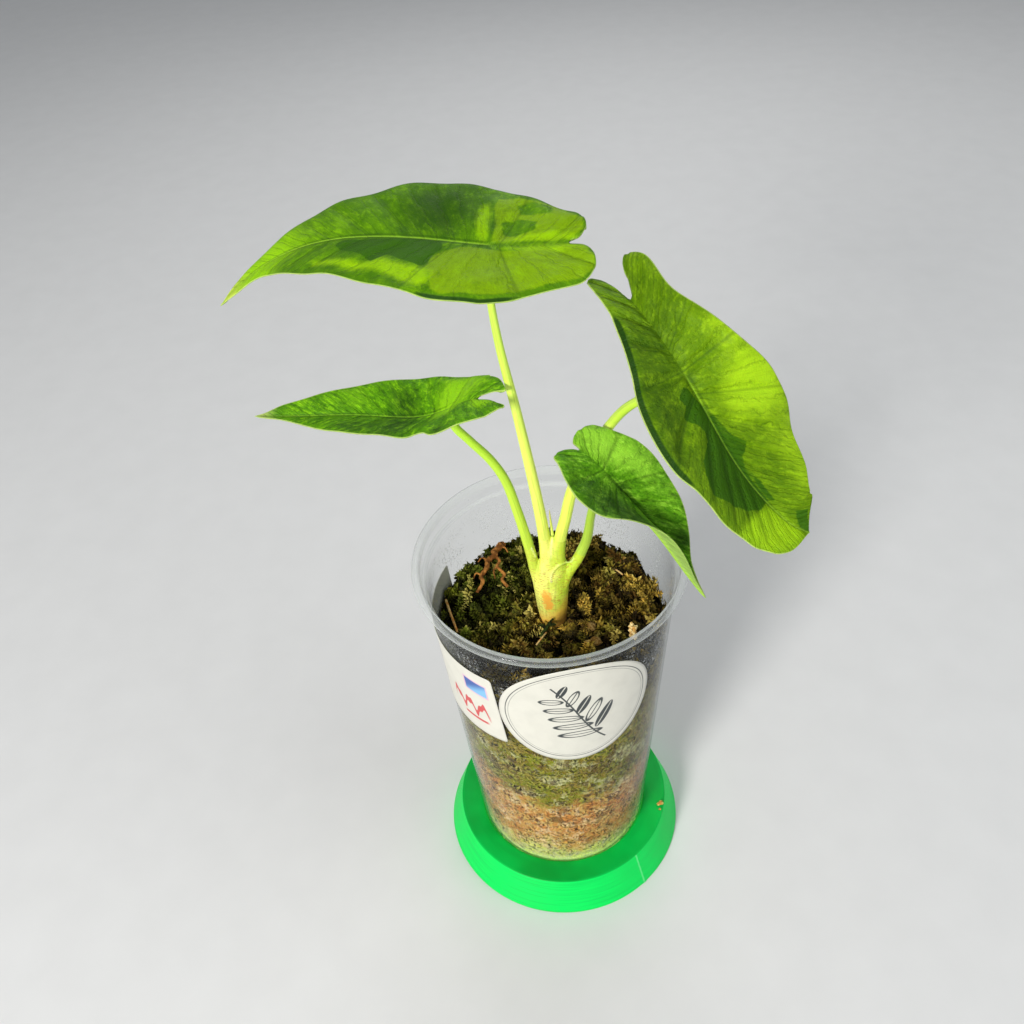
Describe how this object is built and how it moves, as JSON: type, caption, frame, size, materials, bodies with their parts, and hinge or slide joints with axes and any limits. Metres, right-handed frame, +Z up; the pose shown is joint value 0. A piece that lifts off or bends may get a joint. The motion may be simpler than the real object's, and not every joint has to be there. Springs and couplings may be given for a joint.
{
  "type": "potted aroid house plant",
  "caption": "Young variegated alocasia with arrow-shaped leaves on slender stalks, growing in moss in a clear labelled cup on a round green stand.",
  "frame": {"origin": "centre of the stand's flat underside", "axes": "+Z up, -Y towards the side that faces out, with the round label on it, +X to that side's right"},
  "size_m": [0.1656, 0.1128, 0.2844],
  "materials": {
    "stand": "semi-matt printed plastic with fine layer lines",
    "cup": "clear thin plastic, clouded by dirt and condensation inside",
    "moss": "damp moss, olive to brown and tan",
    "crown": "pale yellow-green with brown specks",
    "petiole": "smooth pale green",
    "blade": "satin leaf, mid green to lime with dark green sectors",
    "round_label": "white printed label",
    "price_label": "white label with a blue block and red pen strokes",
    "twig": "dead brown stem",
    "straw": "dry pale straw",
    "crumb": "tan, mossy",
    "bark": "orange-brown",
    "gold_crumb": "pale golden, grainy",
    "stand_crumb": "dry moss crumb"
  },
  "bodies": {
    "root": {"stand": "stand", "cup": "cup", "moss": "moss", "crown": "crown", "petiole_1": "petiole", "petiole_2": "petiole", "petiole_3": "petiole", "petiole_4": "petiole", "blade_1": "blade", "blade_2": "blade", "blade_3": "blade", "blade_4": "blade", "new_leaf_spear": "petiole", "round_label": "round_label", "price_label": "price_label", "dead_twig": "twig", "pale_straw": "straw", "pale_crumb_at_stem": "crumb", "bark_chip": "bark", "wall_crumb": "gold_crumb", "stand_crumb_1": "stand_crumb", "stand_crumb_2": "stand_crumb"}
  },
  "joints": []
}
